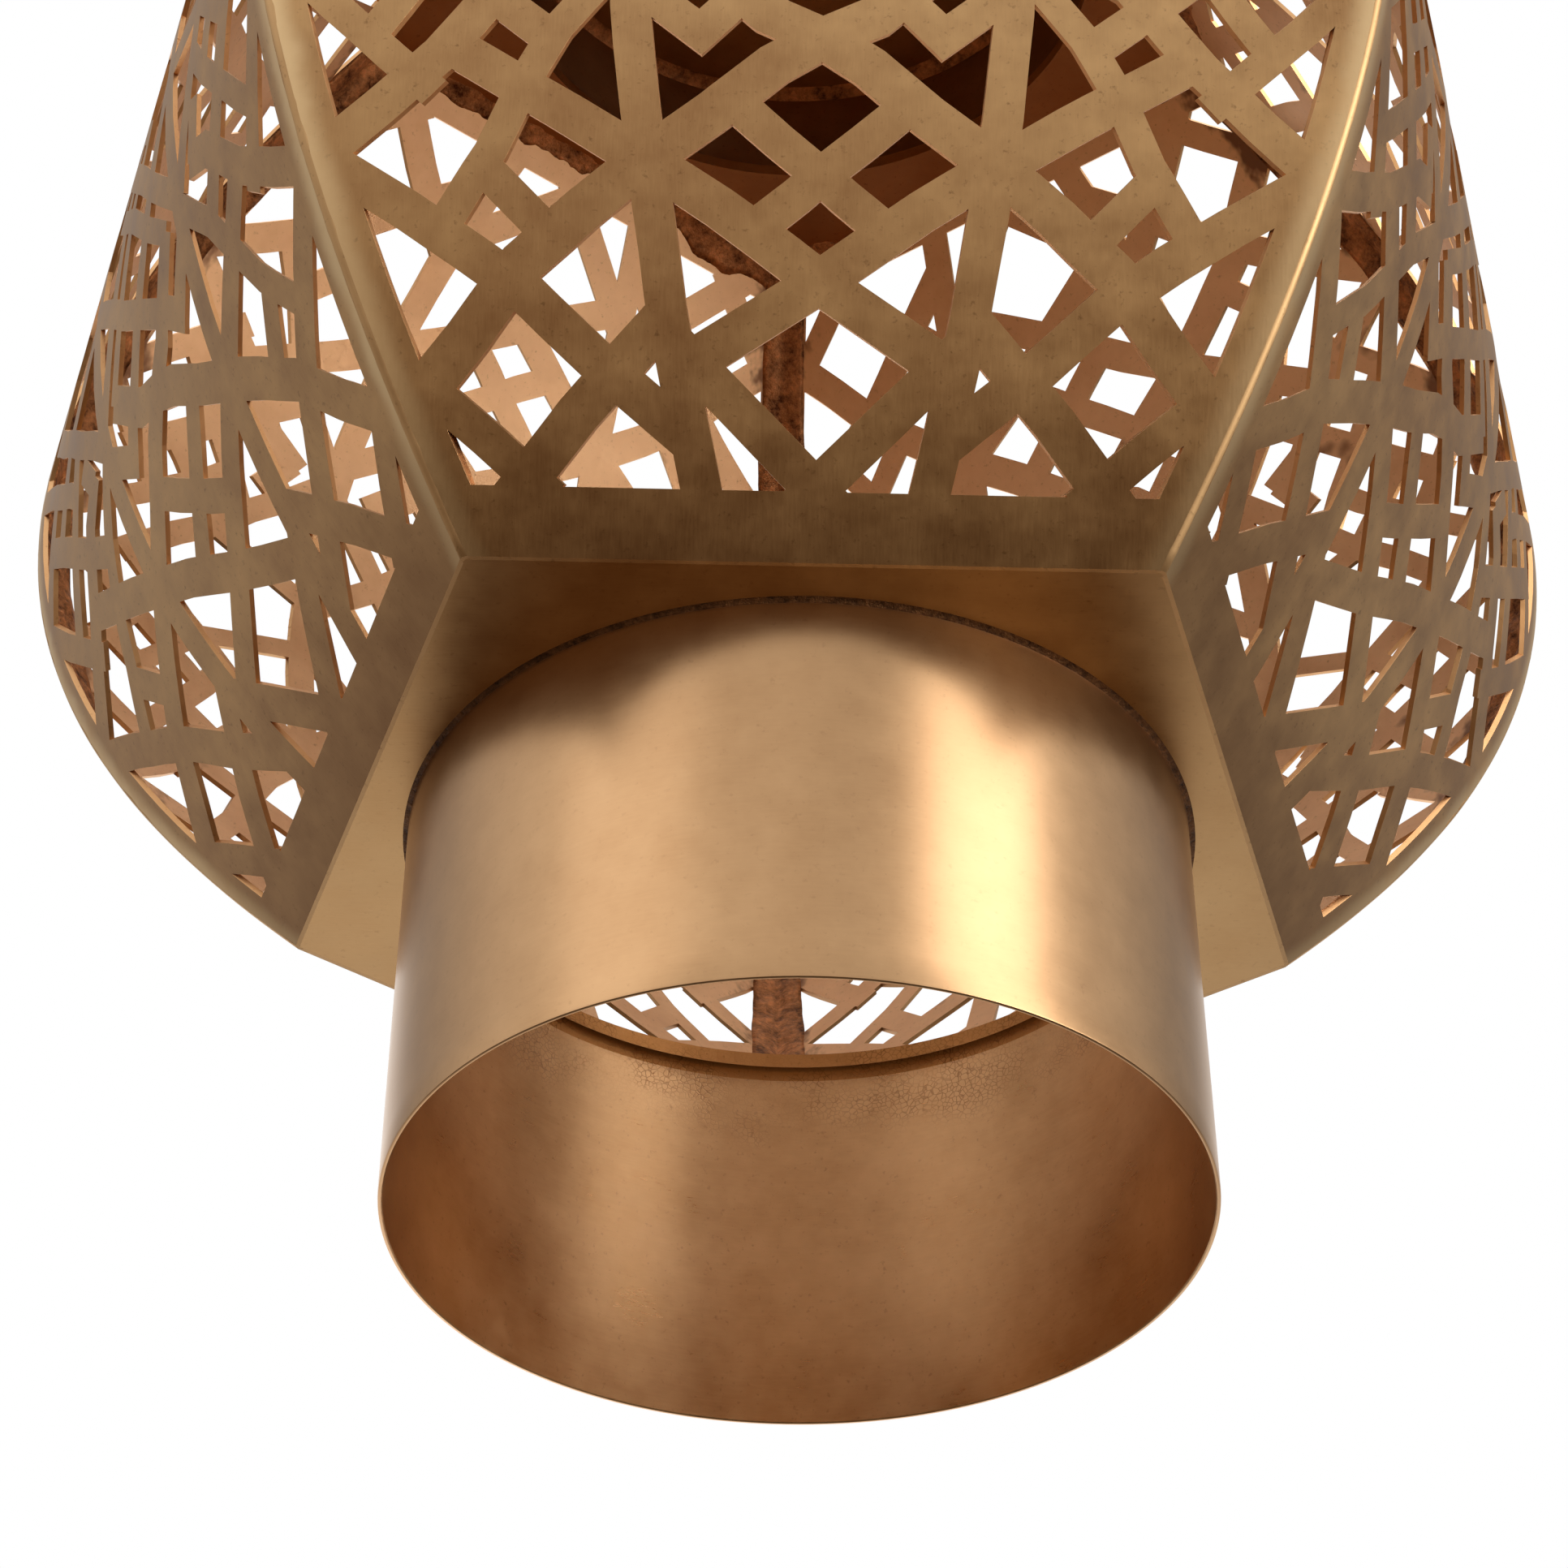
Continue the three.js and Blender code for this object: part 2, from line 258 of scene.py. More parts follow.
def flat_lattice():
    """The pierced sheet before it is bent: x across, y along it, z from inner to outer skin."""
    bars_low, bars_high = -1.0 * MM, 1.5 * MM
    window_low, window_high = -0.2 * MM, 0.7 * MM
    under_ridge = 0.03 * MM
    outlines = []
    for width, line in bar_lines():
        for flip in (1, -1):
            for over in (False, True):
                points = [(flip * x, LENGTH - y if over else y) for x, y in line]
                outlines.append(bar_outline(points, width))
    bars = prisms(outlines, bars_low, bars_high)
    window = prisms([side_outline(MARGIN, BAND, LENGTH - BAND)], window_low, window_high)
    window.data = minus(window, bars)
    edge_inset = RIDGE_R / math.tan(RIDGE_HALF) - under_ridge
    sheet = prisms([side_outline(edge_inset, 0, LENGTH)], 0, SHEET)
    mesh = minus(sheet, window)
    drop(bars, window, sheet)
    return mesh


OUTSIDE, INSIDE, CUT, FILED = range(4)  # a panel's materials
SKIN_NORMAL = 0.9  # a face whose normal rises or falls less than this is a cut side


def end_edges(work):
    """Edges of the outer skin along the flat sheet's two ends."""
    edge_zone = 0.01 * MM
    return [edge for edge in work.edges
            if all(min(v.co.y, LENGTH - v.co.y) < edge_zone and v.co.z > SHEET / 2
                   for v in edge.verts)]


def rim_edges(work):
    """Edges between a skin of the flat sheet and its cut sides."""
    sharp = math.radians(60)
    return [edge for edge in work.edges if len(edge.link_faces) == 2
            and edge.calc_face_angle(0) > sharp
            and {round(abs(f.normal.z)) for f in edge.link_faces} == {0, 1}]


def split_at(work, place, direction):
    """Cuts every face along a plane."""
    geometry = work.verts[:] + work.edges[:] + work.faces[:]
    bmesh.ops.bisect_plane(work, geom=geometry, plane_co=place, plane_no=direction,
                           dist=0.003 * MM)


def panel_mesh():
    """Closed bent panel facing -Y, about the axis at the origin, with softened cut edges."""
    weld, softening = 0.004 * MM, 0.07 * MM
    mesh = flat_lattice()
    work = bmesh.new()
    work.from_mesh(mesh)
    bmesh.ops.remove_doubles(work, verts=work.verts, dist=weld)
    bmesh.ops.dissolve_limit(
        work, angle_limit=math.radians(0.5), verts=work.verts, edges=work.edges,
        delimit={"NORMAL"})
    bmesh.ops.bevel(work, geom=end_edges(work), offset=CHAMFER, segments=1, affect="EDGES")
    bmesh.ops.bevel(work, geom=rim_edges(work), offset=softening, segments=1, affect="EDGES",
                    clamp_overlap=True)
    for k in range(1, BEND_ROWS):
        split_at(work, Vector((0, LENGTH * k / BEND_ROWS, 0)), (0, 1, 0))
    # the distance from the nearer ridge bends at the middle line, so that is cut too
    split_at(work, (0, 0, 0), (1, 0, 0))
    bmesh.ops.triangulate(work, faces=work.faces[:])
    work.normal_update()
    flat = work.loops.layers.uv.new("flat")
    ridge = work.verts.layers.float.new("from_ridge")
    for face in work.faces:
        lean = face.normal.z
        middle = face.calc_center_median()
        face.smooth = abs(lean) > SKIN_NORMAL
        if face.smooth:
            face.material_index = OUTSIDE if lean > 0 else INSIDE
        elif min(middle.y, LENGTH - middle.y) < CHAMFER and middle.z > SHEET / 2:
            face.material_index = FILED
        else:
            face.material_index = CUT
        for loop in face.loops:
            loop[flat].uv = (loop.vert.co.x * UV, loop.vert.co.y * UV)
    for edge in work.edges:
        if len(edge.link_faces) == 2:
            a, b = edge.link_faces
            edge.smooth = a.material_index == b.material_index and a.material_index < CUT
    for vert in work.verts:
        x, s, up = vert.co
        vert[ridge] = (half_width(s) - abs(x)) / MM
        vert.co = on_panel(x, s, SHEET - up)
    work.to_mesh(mesh)
    work.free()
    mesh.name = "panel"
    return mesh


def bend_normals(mesh, angle):
    """Gives the panel's skins the normals of the smooth bend, so that its rows don't show."""
    turn = Matrix.Rotation(angle, 3, "Z")
    normals = []
    for face in mesh.polygons:
        side = {OUTSIDE: 1.0, INSIDE: -1.0}.get(face.material_index)
        for vertex in face.vertices:
            if side is None:
                normals.append(face.normal.copy())
                continue
            t = (mesh.vertices[vertex].co.z - BODY_LOW) / BODY_H
            out, up = slope(min(max(t, 0.0), 1.0))
            normals.append(turn @ Vector((0, -up * side, -out * side)))
    mesh.normals_split_custom_set(normals)


# ---- other shapes ----


def new_piece(name, mesh, materials, nodes):
    """An object of the object: rides on the root and stands for the given CAD nodes."""
    piece = added(name, mesh)
    for material in materials:
        mesh.materials.append(material)
    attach(piece, "root")
    if nodes:
        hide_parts(*nodes)


def round_axis(radius, angle, z):
    """Point at height z and a distance from the holder's axis."""
    return AXIS + Vector((radius * math.cos(angle), radius * math.sin(angle), z))


def faces_between(work, ring, above):
    """Faces that join two closed rings with the same number of vertices."""
    count = len(ring)
    return [work.faces.new((ring[k], ring[(k + 1) % count], above[(k + 1) % count], above[k]))
            for k in range(count)]


def finished(work, name):
    """Mesh of what has been built, with its faces turned outwards."""
    bmesh.ops.recalc_face_normals(work, faces=work.faces)
    mesh = bpy.data.meshes.new(name)
    work.to_mesh(mesh)
    work.free()
    return mesh


def swept(rings, closed_path, step, across):
    """Closed mesh through rings of points. uv: x grows by a step with every ring, and y takes
    the places across the ring."""
    work = bmesh.new()
    layer = work.loops.layers.uv.new("flat")
    loops = [[work.verts.new(p) for p in ring] for ring in rings]
    count = len(loops)
    for i in range(count if closed_path else count - 1):
        u0, u1 = i * step, (i + 1) * step
        for k, face in enumerate(faces_between(work, loops[i], loops[(i + 1) % count])):
            face.smooth = True
            v0, v1 = across[k], across[k + 1]
            for loop, uv in zip(face.loops, ((u0, v0), (u0, v1), (u1, v1), (u1, v0))):
                loop[layer].uv = uv
    if not closed_path:
        work.faces.new(loops[0][::-1])
        work.faces.new(loops[-1])
    return finished(work, "swept")


def lathe(outline, segments=192, wobble=0.0, seed=0.0):
    """Body of revolution about the holder's axis from a closed outline of (radius, z), with a
    slight hand-made unevenness. uv: x round the axis, y along the outline."""
    waves = 30  # of unevenness, along a metre of the axis
    rings = []
    lengths = [0.0]
    for a, b in zip(outline, outline[1:] + outline[:1]):
        lengths.append(lengths[-1] + math.dist(a, b) * UV)
    widest = max(r for r, _ in outline)
    for i in range(segments):
        angle = 2 * math.pi * i / segments
        ring = []
        for r, z in outline:
            spot = Vector((math.cos(angle), math.sin(angle), z * waves + seed))
            ring.append(round_axis(r * (1.0 + wobble * noise.noise(spot)), angle, z))
        rings.append(ring)
    mesh = swept(rings, True, 2 * math.pi * widest * UV / segments, lengths)
    set_sharp(mesh)
    return mesh


def set_sharp(mesh):
    """Keeps edges crisp where two faces turn by more than a limit."""
    limit = math.radians(35)
    work = bmesh.new()
    work.from_mesh(mesh)
    for edge in work.edges:
        if len(edge.link_faces) == 2:
            edge.smooth = edge.calc_face_angle(0) < limit
    work.to_mesh(mesh)
    work.free()


def arc(centre, radius, start, end, steps):
    """Points of an arc in the (radius, z) plane, angles in degrees."""
    points = []
    for k in range(steps + 1):
        a = math.radians(start + (end - start) * k / steps)
        points.append((centre[0] + radius * math.cos(a), centre[1] + radius * math.sin(a)))
    return points


def tube_outline(rim_z, plate_z):
    """A tube from its free rim to the plate it is soldered to, where its bore narrows to a lip."""
    sign = 1 if plate_z > rim_z else -1
    steps = 14
    outline = [(TUBE_R, plate_z)]
    for k in range(1, steps):
        outline.append((TUBE_R, plate_z + (rim_z - plate_z) * k / steps))
    # the rim, filed thin from inside: mm inwards from the outer wall, and from the rim's level
    rim = ((0, 0.14), (0.03, 0.03), (0.1, 0), (0.2, 0), (0.26, 0.08))
    outline += [(TUBE_R - inward * MM, rim_z + sign * along * MM) for inward, along in rim]
    thin = outline[-1][0]
    lip = 1.5 * MM
    lip_z = plate_z - sign * lip
    for k in range(1, steps):
        share = k / steps
        taper = (1 - share) ** 1.5
        outline.append((BORE_R + (thin - BORE_R) * taper, rim_z + (lip_z - rim_z) * share))
    clear = 0.02 * MM  # keeps the lip's end off the wall of the plate's hole
    turns = 6
    for k in range(turns):
        a = math.pi / 2 * k / turns
        radius = BORE_R - (BORE_R - HOLE_R) * (1 - math.cos(a))
        outline.append((radius, lip_z + sign * lip * math.sin(a)))
    outline.append((HOLE_R + clear, plate_z))
    return outline if sign < 0 else outline[::-1]


def plate_reach(z):
    """How far a plate goes out at height z, to meet the panels' end edges and inner skin."""
    into_panel = 0.04 * MM
    rise = min(z - BODY_LOW, BODY_HIGH - z)
    out, up = slope(0.0)
    if rise < SHEET * out:
        return PLATE - max(rise / out, CHAMFER) * up
    return inner_skin(z) + into_panel


def plate_mesh(face_z, back_z, shift):
    """Five-sided plate with a round hole: face_z is its outside, back_z its inner face. shift
    moves the texture."""
    per_side = 24
    count = per_side * SIDES
    seat = 0.27 * MM if back_z > face_z else -0.27 * MM  # to where it meets the inner skin
    stations = [(HOLE_R, face_z), (None, face_z), (None, face_z + seat), (None, back_z),
                (HOLE_R, back_z)]
    rings = []
    for radius, z in stations:
        ring = []
        for i in range(count):
            angle = -math.pi / 2 - HALF + 2 * math.pi * i / count
            local = (i % per_side) / per_side * TURN - HALF
            ring.append(round_axis(radius or plate_reach(z) / math.cos(local), angle, z))
        rings.append(ring)
    rings.insert(1, [a.lerp(b, 0.5) for a, b in zip(rings[0], rings[1])])
    work = bmesh.new()
    layer = work.loops.layers.uv.new("flat")
    loops = [[work.verts.new(p) for p in ring] for ring in rings]
    for i, ring in enumerate(loops):
        for face in faces_between(work, ring, loops[(i + 1) % len(loops)]):
            for loop in face.loops:
                co = loop.vert.co
                loop[layer].uv = ((co.x + co.z) * UV, co.y * UV + shift)
    return finished(work, "plate")


ACROSS_UV = 0.002  # texture coordinates from one point of a ring of solder to the next


def rough(point, scale, seed):
    """Lumpy value round 0 for solder, from a few layers of noise."""
    spot = point * (scale / MM) + Vector((seed, 3.1 * seed, 0))
    return noise.fractal(spot, 0.9, 2.1, 4)


def ridge_solder_mesh(seed):
    """Rough solder in the corner behind the back ridge, about the axis at the origin."""
    steps, across = 150, 8
    reach, uneven = 1.75 * MM, 0.35 * MM  # to each side of the corner
    bulge, lumps, pits = 0.72 * MM, 0.35 * MM, 0.16 * MM
    into_corner, into_panel = 0.1 * MM, 0.03 * MM
    low, high = BODY_LOW + PLATE_T + INSET, BODY_HIGH - PLATE_T - INSET
    rings = []
    for i in range(steps + 1):
        z = low + (high - low) * i / steps
        corner = inner_skin(z) / math.cos(HALF)
        half = reach + uneven * rough(Vector((0.4, 0, z)), 0.11, seed)
        ring = [Vector((0, corner + into_corner, z))]
        for k in range(across + 1):
            q = 2 * k / across - 1
            point = Vector((q * half, 0, z))
            thick = bulge + lumps * rough(point, 0.45, seed) + pits * rough(point, 1.6, seed + 5)
            y = corner - abs(q * half) * TAN_HALF - (1 - q * q) * thick + into_panel
            ring.append(Vector((q * half, y, z)))
        rings.append(ring)
    return swept(rings, False, high / steps * UV, [k * ACROSS_UV for k in range(across + 3)])


def ridge_line_mesh(seed):
    """The rounded outer edge where two panels meet, about the axis at the origin."""
    steps, across = 96, 8
    wear, waves = 0.1, 260  # how uneven its radius is, and how often along a metre
    first, last = math.radians(-20), math.radians(200)  # where the round starts and ends
    short = 0.13 * MM / BODY_H  # it ends level with the chamfers
    rings = []
    for i in range(steps + 1):
        t = short + (1 - 2 * short) * i / steps
        corner = skin(t) / math.cos(HALF)
        z = BODY_LOW + BODY_H * t
        radius = RIDGE_R * (1 + wear * noise.noise(Vector((seed, 0, z * waves))))
        centre = corner - RIDGE_R / math.sin(RIDGE_HALF) - (radius - RIDGE_R) / 2
        ring = []
        for k in range(across + 1):
            a = first + (last - first) * k / across
            ring.append(Vector((radius * math.cos(a), centre + radius * math.sin(a), z)))
        rings.append(ring)
    return swept(rings, False, LENGTH / steps * UV, [k * ACROSS_UV for k in range(across + 2)])


def joined(first, second):
    """One mesh of two, in which the second's faces take the second material."""
    work = bmesh.new()
    work.from_mesh(first)
    before = len(work.faces)
    work.from_mesh(second)
    work.faces.ensure_lookup_table()
    for face in work.faces[before:]:
        face.material_index = 1
    work.to_mesh(first)
    work.free()
    return first


def edge_solder_mesh(level, into, seed):
    """Rough solder round a plate's inner edge, from a level just inside the plate. into is +1
    where the body lies above the plate."""
    per_side, across = 90, 5
    count = per_side * SIDES
    least, most = 0.45, 2.3  # size of the fillet in mm, with its knots
    into_panel = 0.05 * MM
    rings = []
    for i in range(count):
        angle = math.pi / 2 + 2 * math.pi * i / count
        local = (i % per_side) / per_side * TURN - HALF
        here = Vector((math.cos(angle), math.sin(angle), 0)) * PLATE
        size = 1.0 + 0.45 * rough(here, 0.16, seed) + 0.3 * rough(here, 0.6, seed + 9)
        knot = max(0.0, rough(here, 0.055, seed + 4) - 0.42) * 3.2
        size = min(max(size + knot, least), most) * MM
        corner = Vector((inner_skin(level) + into_panel, level))
        foot = Vector((corner.x - size, level))
        top_z = level + into * size
        head = Vector((inner_skin(top_z) + into_panel, top_z))
        points = [foot, corner, head]
        for k in range(1, across):
            q = k / across
            fill = 0.42 + 0.3 * rough(here + Vector((0, 0, k * MM)), 0.9, seed)
            pull = corner.lerp((foot + head) / 2, fill)
            points.append((1 - q) ** 2 * head + 2 * q * (1 - q) * pull + q * q * foot)
        rings.append([round_axis(r / math.cos(local), angle, z) for r, z in points])
    places = [k * 0.003 for k in range(across + 3)]
    return swept(rings, True, 2 * math.pi * PLATE * UV / count, places)


def bead_outline(radius, z, reach, rise):
    """Small hollow fillet of solder in the corner between a tube and a plate."""
    inside = radius - 0.05 * MM
    return [(inside, z), (radius + reach, z), (radius + reach * 0.45, z + rise * 0.3),
            (radius + reach * 0.15, z + rise * 0.65), (inside, z + rise)]


# ---- materials ----

EVEN = (1, 1, 1)  # noise that isn't stretched


def tree_of(name):
    """A new material and its empty node tree."""
    material = bpy.data.materials.new(name)
    material.use_nodes = True
    tree = material.node_tree
    tree.nodes.clear()
    return material, tree


def add_node(tree, kind, settings=None, **inputs):
    """A node with its settings and inputs. Inputs go by name, or i and their number, and each is
    a value or the output that feeds it."""
    node = tree.nodes.new(kind)
    for key, value in (settings or {}).items():
        setattr(node, key, value)
    for key, value in inputs.items():
        socket = node.inputs[int(key[1:])] if key[0] == "i" and key[1:].isdigit() \
            else node.inputs[key.replace("_", " ")]
        if isinstance(value, bpy.types.NodeSocket):
            tree.links.new(value, socket)
        else:
            socket.default_value = value
    return node


def noise_at(tree, coordinates, stretch, scale, detail, roughness):
    """Noise value over coordinates stretched by a vector."""
    mapping = add_node(tree, "ShaderNodeMapping", Vector=coordinates, Scale=stretch)
    node = add_node(tree, "ShaderNodeTexNoise", Vector=mapping.outputs[0], Scale=scale,
                    Detail=detail, Roughness=roughness)
    return node.outputs[0]


def span(tree, value, low, high, to_low=0.0, to_high=1.0, smooth=False):
    """Value mapped from low..high to to_low..to_high and held beyond them."""
    settings = {"clamp": True, "interpolation_type": "SMOOTHSTEP" if smooth else "LINEAR"}
    node = add_node(tree, "ShaderNodeMapRange", settings, i0=value, i1=low, i2=high, i3=to_low,
                    i4=to_high)
    return node.outputs[0]


def swing(tree, value, middle, amount):
    """Noise mapped to a middle value give or take an amount."""
    return span(tree, value, 0.3, 0.7, middle - amount, middle + amount)


def mixed(tree, factor, a, b):
    node = add_node(tree, "ShaderNodeMix", {"data_type": "RGBA"}, i0=factor, i6=a, i7=b)
    return node.outputs[2]


def maths(tree, operation, a, b):
    node = add_node(tree, "ShaderNodeMath", {"operation": operation}, i0=a, i1=b)
    return node.outputs[0]


def weighted(tree, a, weight_a, b, weight_b):
    return maths(tree, "ADD", maths(tree, "MULTIPLY", a, weight_a),
                 maths(tree, "MULTIPLY", b, weight_b))


def from_ridge(tree):
    """Distance from the nearer ridge of a panel, in mm."""
    near = add_node(tree, "ShaderNodeAttribute", {"attribute_name": "from_ridge"})
    return near.outputs["Fac"]


def height_of(tree, place):
    return add_node(tree, "ShaderNodeSeparateXYZ", Vector=place).outputs[2]


def rgb(r, g, b):
    """Linear colour from sRGB bytes."""
    def linear(c):
        c /= 255
        return c / 12.92 if c < 0.04045 else ((c + 0.055) / 1.055) ** 2.4
    return (linear(r), linear(g), linear(b), 1.0)


def brass(name, light, dark, spot, roughness, brushing, grain, stroke=EVEN, coat=0.1,
          cloud=26.0, metal=1.0, contrast=0.12, relief=0.22, spread=0.1, ridges=None,
          smear=None, crackle=None, dusk=None):
    """Patinated brass: clouds of two tones, fine grain, brushing along the strokes, dark spots.
    ridges, smear and dusk are a reach and a colour: lighter along the ridges, partly worn bright
    and partly a painted highlight; burnt along the ridges; and darker towards the ends, partly
    patina and partly painted shade. crackle is two heights, between which cracks set in."""
    material, tree = tree_of(name)
    place = add_node(tree, "ShaderNodeTexCoord").outputs["Object"]
    flat = add_node(tree, "ShaderNodeUVMap", {"uv_map": "flat"}).outputs[0]
    clouds = noise_at(tree, place, EVEN, cloud, 4.0, 0.6)
    mottle = noise_at(tree, place, EVEN, cloud * 9, 3.0, 0.65)
    fine = noise_at(tree, place, EVEN, 2600.0, 2.0, 0.7)
    strokes = noise_at(tree, flat, stroke, 60.0, 4.0, 0.7)
    tone = weighted(tree, clouds, 0.6, mottle, 0.4)
    tone = span(tree, tone, 0.5 - contrast, 0.5 + contrast)
    colour = mixed(tree, tone, dark, light)
    streak = span(tree, strokes, 0.35, 0.7, 0.0, brushing)
    colour = mixed(tree, streak, colour, tuple(min(1.0, c * 1.25) for c in light[:3]) + (1.0,))
    speck = span(tree, fine, 0.62, 0.78, 0.0, grain * 1.6)
    colour = mixed(tree, speck, colour, spot)
    rough_value = maths(tree, "ADD", swing(tree, mottle, 0.0, spread / 2),
                        swing(tree, strokes, roughness, spread / 3))
    height = weighted(tree, fine, grain, strokes, brushing * 1.4)
    # ridges lightens the skin along the ridges: partly worn bright metal, partly a painted
    # highlight
    if ridges:
        reach, bright = ridges
        edge = maths(tree, "ADD", from_ridge(tree), swing(tree, mottle, 0.0, 0.35))
        colour = mixed(tree, span(tree, edge, 0.25, reach, 0.9, 0.0, True), colour, bright)
    if smear:
        reach, burnt = smear
        ragged = noise_at(tree, place, (1, 1, 0.5), 210.0, 4.0, 0.7)
        edge = maths(tree, "ADD", from_ridge(tree), swing(tree, ragged, 0.0, 2.2))
        stain = span(tree, edge, 1.2, reach, 0.9, 0.0, True)
        blot = noise_at(tree, place, EVEN, 75.0, 4.0, 0.7)
        stain = maths(tree, "MAXIMUM", stain, span(tree, blot, 0.64, 0.7, 0.0, 0.75))
        colour = mixed(tree, stain, colour, burnt)
        height = maths(tree, "ADD", height, maths(tree, "MULTIPLY", stain, ragged))
    if crackle:
        low, high = crackle
        cells = add_node(tree, "ShaderNodeTexVoronoi", {"feature": "DISTANCE_TO_EDGE"},
                         Vector=place, Scale=2900.0)
        crack = span(tree, cells.outputs[0], 0.0, 0.09, 1.0, 0.0)
        broken = noise_at(tree, place, EVEN, 160.0, 3.0, 0.6)
        crack = maths(tree, "MULTIPLY", crack, span(tree, broken, 0.44, 0.56, 0.15, 1.0))
        ragged = maths(tree, "ADD", height_of(tree, place), swing(tree, mottle, 0.0, 1.3 * MM))
        zone = span(tree, ragged, low, high, smooth=True)
        crack = maths(tree, "MULTIPLY", crack, zone)
        colour = mixed(tree, maths(tree, "MULTIPLY", crack, 0.6), colour, spot)
        height = maths(tree, "SUBTRACT", height, maths(tree, "MULTIPLY", crack, 0.8))
    # dusk darkens the skin towards both ends: partly patina, partly painted shade on the bands
    # that meet the plates
    if dusk:
        reach, tarnish_and_painted_shade = dusk
        up = height_of(tree, place)
        from_end = maths(tree, "MINIMUM", maths(tree, "SUBTRACT", up, BODY_LOW),
                         maths(tree, "SUBTRACT", BODY_HIGH, up))
        from_end = maths(tree, "ADD", from_end, swing(tree, mottle, 0.0, 0.8 * MM))
        colour = mixed(tree, span(tree, from_end, 0.0, reach, 0.42, 0.0, True), colour, tarnish_and_painted_shade)
    bump = add_node(tree, "ShaderNodeBump", Height=height, Strength=relief, Distance=0.05 * MM)
    shader = add_node(tree, "ShaderNodeBsdfPrincipled", Base_Color=colour, Metallic=metal,
                      Roughness=rough_value, Normal=bump.outputs[0], Coat_Weight=coat,
                      Coat_Roughness=0.28)
    add_node(tree, "ShaderNodeOutputMaterial", i0=shader.outputs[0])
    return material


def solder(name, light, dark, roughness=0.62, size=420.0):
    """Rough darkened solder, pitted and lumpy. size is lumps to a metre."""
    material, tree = tree_of(name)
    place = add_node(tree, "ShaderNodeTexCoord").outputs["Object"]
    lumps = noise_at(tree, place, EVEN, size, 5.0, 0.75)
    pits = noise_at(tree, place, EVEN, size * 3.5, 3.0, 0.8)
    tone = weighted(tree, lumps, 0.6, pits, 0.4)
    colour = mixed(tree, span(tree, tone, 0.38, 0.62), dark, light)
    height = maths(tree, "ADD", lumps, maths(tree, "MULTIPLY", pits, 0.5))
    bump = add_node(tree, "ShaderNodeBump", Height=height, Strength=0.8, Distance=0.25 * MM)
    shader = add_node(tree, "ShaderNodeBsdfPrincipled", Base_Color=colour, Metallic=0.85,
                      Roughness=span(tree, pits, 0.3, 0.7, roughness - 0.1, roughness + 0.15),
                      Normal=bump.outputs[0])
    add_node(tree, "ShaderNodeOutputMaterial", i0=shader.outputs[0])
    return material


# Outer skin of the panels: lighter along the ridges, partly wear and partly a painted highlight,
# and darker towards the ends, partly patina and partly painted shade.
panel_out = brass("panel_brass_outside", rgb(214, 172, 120), rgb(174, 130, 86), rgb(116, 80, 48),
                  0.37, stroke=(14, 1, 1), brushing=0.16, grain=0.3,
                  ridges=(1.9, rgb(250, 216, 164)), dusk=(9.0 * MM, rgb(128, 90, 52)))
panel_in = brass("panel_brass_inside", rgb(246, 204, 158), rgb(222, 174, 128), rgb(150, 102, 66),
                 0.5, stroke=(3, 1, 1), brushing=0.1, grain=0.3, coat=0.0, metal=0.6,
                 smear=(3.0, rgb(112, 70, 42)))
panel_cut = brass("panel_brass_cut_edge", rgb(226, 182, 132), rgb(198, 150, 102),
                  rgb(146, 100, 60), 0.46, brushing=0.1, grain=0.3, coat=0.0)
plate_brass = brass("plate_brass_brushed", rgb(208, 169, 118), rgb(182, 142, 94),
                    rgb(136, 96, 54), 0.36, stroke=(1, 12, 1), brushing=0.14, grain=0.2)
# Darker copy of the plate brass, for the plates' inner faces: painted shade inside the body.
plate_inner_painted_shade = brass("plate_brass_painted_shade", rgb(168, 112, 66), rgb(140, 88, 48), rgb(80, 46, 24),
                    0.5, stroke=(1, 10, 1), brushing=0.1, grain=0.3, coat=0.0)
tube_brass = brass("collar_brass_outside", rgb(216, 174, 128), rgb(194, 151, 107),
                   rgb(142, 100, 62), 0.3, stroke=(1, 9, 1), brushing=0.1, grain=0.12,
                   cloud=34.0, coat=0.3, contrast=0.17, relief=0.05, spread=0.035)
tube_inside = brass("collar_brass_inside", rgb(216, 177, 132), rgb(184, 145, 102),
                    rgb(116, 80, 52), 0.33, stroke=(1, 7, 1), brushing=0.12, grain=0.22,
                    coat=0.05, crackle=(BODY_LOW - 5.6 * MM, BODY_LOW - 3.0 * MM))
lip_brass = brass("collar_brass_lip", rgb(196, 144, 90), rgb(158, 110, 62), rgb(76, 48, 26),
                  0.44, stroke=(1, 7, 1), brushing=0.1, grain=0.3, coat=0.0,
                  crackle=(BODY_LOW - 3.0 * MM, BODY_LOW - 2.0 * MM))
# Darker copy of the collar's inside brass, for the hollow under the cup's floor and the floor's
# underside: painted shade in the recess.
recess_brass_painted_shade = brass("collar_brass_recess_painted_shade", rgb(176, 134, 92), rgb(142, 104, 68), rgb(84, 56, 34),
                     0.5, stroke=(1, 7, 1), brushing=0.12, grain=0.4, coat=0.0)
cup_brass = brass("cup_brass_satin", rgb(214, 176, 118), rgb(190, 150, 94), rgb(140, 102, 60),
                  0.3, stroke=(1, 10, 1), brushing=0.14, grain=0.2)
solder_dark = solder("solder_darkened", rgb(222, 158, 104), rgb(84, 48, 26))
# Dark solder of the beads where the tubes meet the plates: partly solder, partly a painted contact
# shadow.
solder_and_contact_shade = solder("solder_and_painted_contact_shade", rgb(134, 92, 56), rgb(60, 38, 24), 0.6, 800.0)
ridge_bright = brass("ridge_filed", rgb(228, 192, 142), rgb(200, 160, 112), rgb(142, 102, 64),
                     0.56, brushing=0.1, grain=0.3)
steel = brass("steel_dull", rgb(150, 150, 152), rgb(112, 112, 116), rgb(60, 58, 56), 0.42,
              stroke=(1, 6, 1), brushing=0.12, grain=0.3, coat=0.0, cloud=90.0)

# ---- pieces ----


